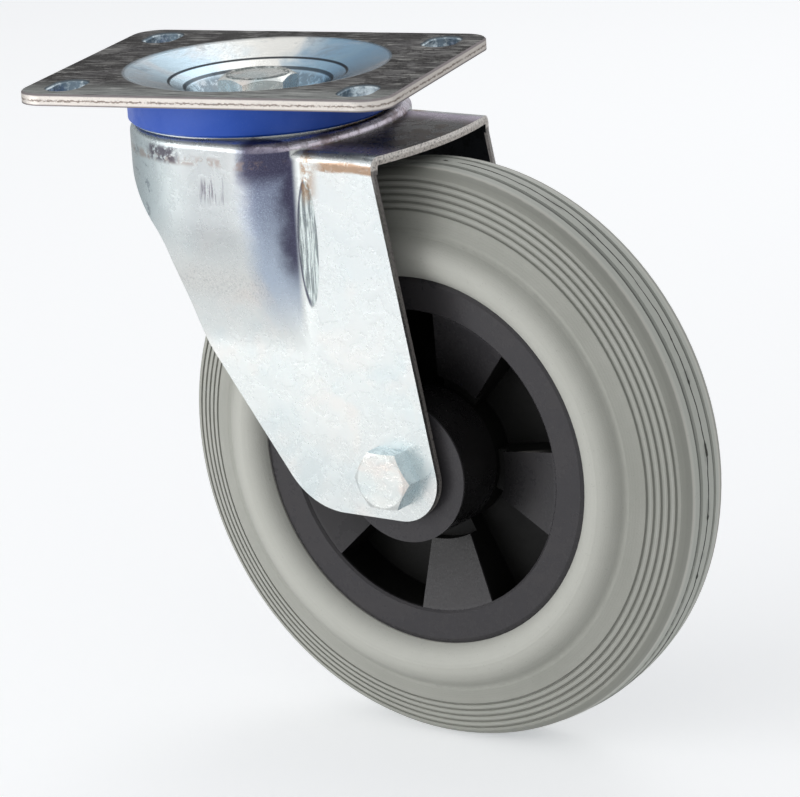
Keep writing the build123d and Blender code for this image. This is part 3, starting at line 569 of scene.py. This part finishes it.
def centre_finish(plastic):
    material, sheet, shader = new_material("centre black")
    spot, facing = place(sheet, AXLE, TRAIL_TURN)
    x, y, z = sheet.split(spot)
    r = sheet.length(x, z)
    side = sheet.math("ABSOLUTE", y)
    # the spokes' faces slope outwards from the hub, and what lies behind them is in shade
    face = sheet.math("ADD", sheet.math("MULTIPLY", sheet.math("SUBTRACT", r, 29.0), 0.251), 11.4)
    buried = sheet.all_of(sheet.span(sheet.math("SUBTRACT", side, face), 0.0, -0.6),
                          sheet.span(r, 53.4, 52.9), sheet.span(side, 28.4, 28.0))
    flow = sheet.effect("blotches", Vector=spot, Scale=0.06, Low=0.4, High=0.62)
    color = sheet.tone(flow, 0.4, plastic.rim, rgb(69, 67, 68))
    dust = sheet.effect("grain", Vector=spot, Scale=1.8, Amount=0.35)
    color = sheet.tone(dust, 0.3, color, rgb(92, 88, 84))
    # painted highlight on the upper side wall of one spoke
    painted_glint = sheet.all_of(sheet.span(sheet.split(facing)[2], 0.8, 0.95), sheet.band(z, -7.0, 7.0, 2.0),
                            sheet.band(r, 36.0, 52.0, 2.0), sheet.span(x, 0.0, 4.0),
                            sheet.span(side, 12.0, 15.0))
    # painted shade on the spokes, deepest towards the hub
    spoke = sheet.all_of(sheet.span(r, 52.4, 51.0, 0.35, 1.0), sheet.span(r, 52.6, 52.3),
                         sheet.span(r, 26.0, 27.0))
    color = sheet.tone(spoke, sheet.span(r, 27.0, 52.0, 0.8, 0.3), color, plastic.pocket_shade)
    # painted shade on the hub's wall
    hub_wall = sheet.all_of(sheet.span(r, 26.4, 26.0), sheet.span(side, 30.0, 29.6))
    color = sheet.tone(hub_wall, 0.8, color, plastic.pocket_shade)
    color = sheet.mix(buried, color, plastic.pocket_shade)
    color = sheet.mix(painted_glint, color, rgb(176, 172, 168))
    sheet.feed(shader.inputs["Base Color"], color)
    shader.inputs["Specular IOR Level"].default_value = 0.22
    rough = sheet.span(buried, 0.0, 1.0, 0.24, 0.5)
    sheet.feed(shader.inputs["Roughness"], sheet.math("ADD", rough, sheet.math("MULTIPLY", flow, 0.08)))
    bump(sheet, shader, sheet.noise(spot, 0.9, 4.0, 0.6), 0.00006)
    apply_to(("rim", "hub_cap_head_side", "hub_cap_nut_side", "thrust_washer_head_side",
              "thrust_washer_nut_side"), material)


def nylon_finish(plastic):
    material, sheet, shader = new_material("nylon")
    spot = place(sheet)[0]
    cloud = sheet.effect("blotches", Vector=spot, Scale=0.3, Low=0.4, High=0.6)
    sheet.feed(shader.inputs["Base Color"], sheet.tone(cloud, 0.5, plastic.nylon, rgb(186, 182, 166)))
    sheet.feed(shader.inputs["Roughness"], sheet.span(cloud, 0.0, 1.0, 0.4, 0.55))
    apply_to(("king_nut_insert", "axle_nut_insert", "roller_cage"), material)


def tyre_finish(tyre):
    material, sheet, shader = new_material("tyre rubber")
    spot = place(sheet, AXLE, TRAIL_TURN)[0]
    x, y, z = sheet.split(spot)
    r = sheet.length(x, z)
    side = sheet.math("ABSOLUTE", y)
    round_way = sheet.join(sheet.math("MULTIPLY", r, 1.3), sheet.math("MULTIPLY", side, 0.6), 0.0)
    rings = sheet.noise(round_way, 1.0, 5.0, 0.7)
    cloud = sheet.effect("blotches", Vector=spot, Scale=0.03, Low=0.4, High=0.64)
    color = sheet.tone(cloud, 0.3, tyre.rubber, tyre.shade)
    color = sheet.mix(sheet.span(rings, 0.35, 0.7, 0.0, 0.4), color, rgb(156, 158, 151))
    pale = sheet.math("MULTIPLY", sheet.span(r, 79.5, 72.0), sheet.span(side, 16.0, 18.0))
    color = sheet.tone(pale, 0.6, color, tyre.bloom)
    # painted highlight along the edge of the tread's crown
    shoulder = sheet.all_of(sheet.span(r, 98.6, 99.1), sheet.band(side, 7.4, 9.0, 0.5))
    color = sheet.tone(shoulder, 0.85, color, rgb(216, 216, 208))
    # painted shade on the slope from the tread down to the side grooves
    slope = sheet.all_of(sheet.band(side, 9.6, 12.6, 0.6), sheet.span(r, 96.6, 97.0))
    color = sheet.tone(slope, 0.5, color, tyre.shade)
    # grooves in the side wall: dirt and painted shade in the grooves, painted highlights on the ridges
    half_pitch = GROOVE_PITCH / 2
    beat = sheet.math("PINGPONG", sheet.math("SUBTRACT", r, GROOVE_FIRST_R - half_pitch), half_pitch)
    in_set = sheet.band(r, 85.6, 96.6, 0.2)
    groove_dirt_and_shade = sheet.all_of(sheet.span(beat, 0.62, 0.95), in_set, sheet.span(side, 12.0, 12.6))
    color = sheet.tone(groove_dirt_and_shade, 0.5, color, tyre.groove_dirt_and_shade)
    # painted highlights on the ridges between the grooves
    ridge = sheet.all_of(sheet.span(beat, 0.35, 0.05), in_set, sheet.span(side, 12.0, 12.6))
    color = sheet.tone(ridge, 0.45, color, rgb(196, 198, 192))
    # crown of the tread, painted lighter as light on it; its two grooves, dark with dirt and painted shade;
    # and the dirt beside the mould line
    tread = sheet.span(r, 97.5, 98.2)
    crown = sheet.all_of(tread, sheet.span(side, 8.6, 7.6))
    color = sheet.tone(crown, 0.7, color, rgb(208, 212, 205))
    # dirt and painted shade in the tread's two grooves
    channel = sheet.all_of(sheet.band(side, 3.7, 5.1, 0.35), tread)
    color = sheet.tone(channel, 0.9, color, rgb(66, 68, 66))
    turn = sheet.join(sheet.math("DIVIDE", x, r), sheet.math("DIVIDE", z, r), 0.0)
    smear = sheet.all_of(sheet.span(side, 1.8, 0.4), tread,
                         sheet.span(sheet.noise(turn, 7.0, 3.0, 0.6), 0.5, 0.62))
    color = sheet.tone(smear, 0.3, color, tyre.crack)
    dust = sheet.effect("grain", Vector=spot, Scale=1.1, Amount=0.2)
    color = sheet.tone(dust, 0.25, color, rgb(110, 110, 104))
    sheet.feed(shader.inputs["Base Color"], color)
    sheet.feed(shader.inputs["Roughness"], sheet.span(rings, 0.3, 0.7, 0.5, 0.66))
    bump(sheet, shader, sheet.math("ADD", rings, sheet.noise(spot, 1.5, 4.0, 0.6)), 0.00009)
    apply_to(("tyre",), material)


def line_finish(tyre):
    """Dark colour of the mould line, painted as the shade in a crack along the tread."""
    material, sheet, shader = new_material("mould line")
    spot = place(sheet, AXLE, TRAIL_TURN)[0]
    dirt = sheet.effect("blotches", Vector=spot, Scale=0.4, Low=0.4, High=0.6)
    sheet.feed(shader.inputs["Base Color"], sheet.tone(dirt, 0.5, tyre.crack, rgb(78, 80, 74)))
    sheet.feed(shader.inputs["Roughness"], sheet.span(dirt, 0.0, 1.0, 0.55, 0.75))
    return material


# ---------------------------------------------------------------- mould line
def mould_line_tree():
    """A ridge round the tread that wanders, sinks into the rubber in places and has thick nicks."""
    tree = bpy.data.node_groups.new("mould line", "GeometryNodeTree")
    kinds = {"Radius": "Float", "Depth": "Float", "Thickness": "Float", "Wander": "Float", "Seed": "Float",
             "Points": "Int", "Finish": "Material"}
    for name, kind in kinds.items():
        tree.interface.new_socket(name, in_out="INPUT", socket_type="NodeSocket" + kind)
    tree.interface.new_socket("Geometry", in_out="OUTPUT", socket_type="NodeSocketGeometry")
    sheet = Sheet(tree)
    entry = sheet.add("NodeGroupInput").outputs
    ring = sheet.add("GeometryNodeCurvePrimitiveCircle", {
        "Resolution": entry["Points"], "Radius": sheet.math("SUBTRACT", entry["Radius"], entry["Depth"])})
    way = sheet.add("ShaderNodeVectorMath", {0: sheet.add("GeometryNodeInputPosition").outputs[0],
                                             "Scale": 10.0}, operation="SCALE").outputs[0]

    def noise(scale, offset):
        node = sheet.add("ShaderNodeTexNoise",
                         {"Vector": way, "W": sheet.math("ADD", entry["Seed"], offset), "Scale": scale,
                          "Detail": 3.0}, noise_dimensions="4D")
        return node.outputs["Fac"]

    sideways = sheet.math("MULTIPLY", sheet.math("SUBTRACT", noise(5.0, 0.0), 0.5), entry["Wander"])
    moved = sheet.add("GeometryNodeSetPosition",
                      {"Geometry": ring.outputs[0], "Offset": sheet.join(0.0, 0.0, sideways)})
    shown = sheet.span(noise(1.6, 10.0), 0.4, 0.52, 0.45, 1.0)
    nick = sheet.span(noise(14.0, 20.0), 0.58, 0.66, 0.0, 0.9)
    profile = sheet.add("GeometryNodeCurvePrimitiveCircle",
                        {"Resolution": RIDGE_SIDES, "Radius": entry["Thickness"]})
    swept = sheet.add("GeometryNodeCurveToMesh",
                      {"Curve": moved.outputs[0], "Profile Curve": profile.outputs[0],
                       "Scale": sheet.math("ADD", shown, nick)})
    real = sheet.add("GeometryNodeRealizeInstances", {"Geometry": swept.outputs[0]})
    painted = sheet.add("GeometryNodeSetMaterial",
                        {"Geometry": real.outputs[0], "Material": entry["Finish"]})
    sheet.add("NodeGroupOutput", {"Geometry": painted.outputs[0]})
    return tree


def baked(name, tree, turn, **inputs):
    """Runs a node tree once and keeps its result as a plain closed mesh, moved to its place on the part."""
    carrier = bpy.data.objects.new(name, bpy.data.meshes.new(name))
    bpy.context.scene.collection.objects.link(carrier)
    modifier = carrier.modifiers.new(name, "NODES")
    modifier.node_group = tree
    for item in tree.interface.items_tree:
        if item.in_out == "INPUT":
            modifier[item.identifier] = inputs[item.name]
    evaluated = carrier.evaluated_get(bpy.context.evaluated_depsgraph_get())
    mesh = bpy.data.meshes.new_from_object(evaluated)
    carrier.modifiers.remove(modifier)
    mesh.transform(turn)
    work = bmesh.new()
    work.from_mesh(mesh)
    bmesh.ops.recalc_face_normals(work, faces=work.faces)
    work.to_mesh(mesh)
    work.free()
    carrier.data = mesh
    return carrier


class CASTOR_OT_metal(bpy.types.Operator):
    """Gives the plate, fork, bolts and bearing steel their plating"""
    bl_idname = "castor.metal"
    bl_label = "Finish Metal"

    def execute(self, context):
        metal = context.scene.castor_metal
        plate_finish(metal)
        fork_finish(metal)
        bolt_finish(metal)
        steel_finish(metal)
        return {"FINISHED"}


class CASTOR_OT_plastic(bpy.types.Operator):
    """Gives the dust ring, wheel centre and inserts their plastics"""
    bl_idname = "castor.plastic"
    bl_label = "Finish Plastic"

    def execute(self, context):
        plastic = context.scene.castor_plastic
        ring_finish(plastic)
        centre_finish(plastic)
        nylon_finish(plastic)
        return {"FINISHED"}


class CASTOR_OT_tyre(bpy.types.Operator):
    """Gives the tyre its rubber and its dark grooves"""
    bl_idname = "castor.tyre"
    bl_label = "Finish Tyre"

    def execute(self, context):
        tyre_finish(context.scene.castor_tyre)
        return {"FINISHED"}


class CASTOR_OT_mould_line(bpy.types.Operator):
    """Adds the broken mould line round the middle of the tread"""
    bl_idname = "castor.mould_line"
    bl_label = "Add Mould Line"

    def execute(self, context):
        tyre = context.scene.castor_tyre
        trail = Vector((cos(TRAIL_TURN), sin(TRAIL_TURN), 0))
        turn = Matrix((trail, AXLE_WAY.cross(trail), AXLE_WAY)).transposed().to_4x4()
        turn.translation = AXLE
        line = baked("mould_line", mould_line_tree(), turn, Radius=tyre.radius, Depth=tyre.line_depth,
                     Thickness=tyre.line_thickness, Wander=tyre.line_wander, Seed=RIDGE_SEED,
                     Points=RIDGE_POINTS, Finish=line_finish(tyre))
        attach(line, "wheel")
        return {"FINISHED"}


# ---------------------------------------------------------------- studio
LAMPS = {
    # place, point it shines at, width and height in metres, watts
    "key": ((0.9, -1.15, 0.2), (0, 0.03, -0.12), 1.2, 0.7, 7.2),
    "low": ((0.62, -0.36, -0.14), (0.03, 0, -0.2), 0.5, 0.12, 1.1),
    "fill": ((1.4, 0.9, 0.3), (0, 0.03, -0.12), 1.2, 1.0, 0.7),
    "back": ((-1.2, 0.1, 0.9), (0, 0.03, -0.1), 1.0, 1.0, 3),
}
FLOOR_REACH = 6.0
FLOOR_GLOW = 0.41          # what the camera sees on top of the lit floor, up to a plain pale backdrop
DAYLIGHT = 0.45            # strength of the surroundings as light on the object
SENSOR = 36                # camera's film width, mm


def lamp(name, place_at, aim, width, height, power):
    data = bpy.data.lights.new(name, "AREA")
    data.shape = "RECTANGLE"
    data.size = width
    data.size_y = height
    data.energy = power
    lamp_object = bpy.data.objects.new(name, data)
    lamp_object.location = place_at
    lamp_object.rotation_euler = (Vector(aim) - Vector(place_at)).to_track_quat("-Z", "Y").to_euler()
    bpy.context.scene.collection.objects.link(lamp_object)


def seen_rays(sheet):
    """1 for what the camera sees, directly or in a mirror or glass, and 0 for light on the object."""
    ray = sheet.add("ShaderNodeLightPath")
    seen = sheet.math("MAXIMUM", ray.outputs["Is Camera Ray"], ray.outputs["Is Glossy Ray"])
    return sheet.math("MAXIMUM", seen, ray.outputs["Is Transmission Ray"])


def camera_turn(azimuth, elevation, roll):
    """The camera's right, up and backward directions."""
    back = Vector((sin(azimuth) * cos(elevation), -cos(azimuth) * cos(elevation), sin(elevation)))
    level = Vector((cos(azimuth), sin(azimuth), 0))
    rise = back.cross(level)
    return level * cos(roll) + rise * sin(roll), rise * cos(roll) - level * sin(roll), back


class CASTOR_OT_stage(bpy.types.Operator):
    """Sets up the floor, backdrop, lamps and camera"""
    bl_idname = "castor.stage"
    bl_label = "Set Up Stage"

    def execute(self, context):
        scene = context.scene
        stage = scene.castor_stage
        floor_z = CAD_BOX[0][2]
        mesh = bpy.data.meshes.new("floor")
        corners = ((-1, -1), (1, -1), (1, 1), (-1, 1))
        mesh.from_pydata([(x * FLOOR_REACH, y * FLOOR_REACH, floor_z) for x, y in corners], [], [range(4)])
        floor = bpy.data.objects.new("floor", mesh)
        scene.collection.objects.link(floor)
        material, sheet, shader = new_material("floor")
        shader.inputs["Base Color"].default_value = stage.floor
        shader.inputs["Roughness"].default_value = 0.9
        shader.inputs["Specular IOR Level"].default_value = 0.1
        seen = seen_rays(sheet)
        shader.inputs["Emission Color"].default_value = (0.93, 0.96, 1.0, 1.0)
        sheet.feed(shader.inputs["Emission Strength"], sheet.math("MULTIPLY", seen, FLOOR_GLOW))
        mesh.materials.append(material)

        world = bpy.data.worlds.new("studio")
        scene.world = world
        world.use_nodes = True
        world.node_tree.nodes.clear()
        sheet = Sheet(world.node_tree)
        seen = seen_rays(sheet)
        strength = sheet.span(seen, 0.0, 1.0, DAYLIGHT, 1.0, smooth=False)
        sky = sheet.add("ShaderNodeBackground", {"Color": (1, 1, 1, 1), "Strength": strength})
        sheet.add("ShaderNodeOutputWorld", {"Surface": sky.outputs[0]})

        for name, facts in LAMPS.items():
            lamp(name, *facts)
        # the low lamp lifts the rubber only and isn't mirrored in the plating
        bpy.data.objects["low"].visible_glossy = False

        data = bpy.data.cameras.new("camera")
        data.sensor_width = SENSOR
        data.lens = stage.lens
        data.clip_start = 0.05
        camera = bpy.data.objects.new("camera", data)
        turn = Matrix(camera_turn(stage.azimuth, stage.elevation, stage.roll)).transposed().to_4x4()
        turn.translation = Vector(stage.place)
        camera.matrix_world = turn
        scene.collection.objects.link(camera)
        scene.camera = camera
        scene.view_settings.view_transform = "Standard"
        return {"FINISHED"}


class CASTOR_PT_panel(bpy.types.Panel):
    """Lists the steps that finish the castor"""
    bl_idname = "CASTOR_PT_panel"
    bl_label = "Castor"
    bl_space_type = "VIEW_3D"
    bl_region_type = "UI"
    bl_category = "Castor"

    def draw(self, context):
        for step in STEPS:
            self.layout.operator(step.bl_idname)


GROUPS = {"castor_metal": CASTOR_PG_metal, "castor_plastic": CASTOR_PG_plastic,
          "castor_tyre": CASTOR_PG_tyre, "castor_stage": CASTOR_PG_stage}
STEPS = (CASTOR_OT_metal, CASTOR_OT_plastic, CASTOR_OT_tyre, CASTOR_OT_mould_line, CASTOR_OT_stage)


def register():
    for group in GROUPS.values():
        bpy.utils.register_class(group)
    for name, group in GROUPS.items():
        setattr(bpy.types.Scene, name, bpy.props.PointerProperty(type=group))
    for step in STEPS + (CASTOR_PT_panel,):
        bpy.utils.register_class(step)


def unregister():
    for step in reversed(STEPS + (CASTOR_PT_panel,)):
        bpy.utils.unregister_class(step)
    for name in GROUPS:
        delattr(bpy.types.Scene, name)
    for group in GROUPS.values():
        bpy.utils.unregister_class(group)


def main():
    register()
    make_effects()
    bpy.ops.castor.metal()
    bpy.ops.castor.plastic()
    bpy.ops.castor.tyre()
    bpy.ops.castor.mould_line()
    bpy.ops.castor.stage()


if __name__ == "__main__":
    main()
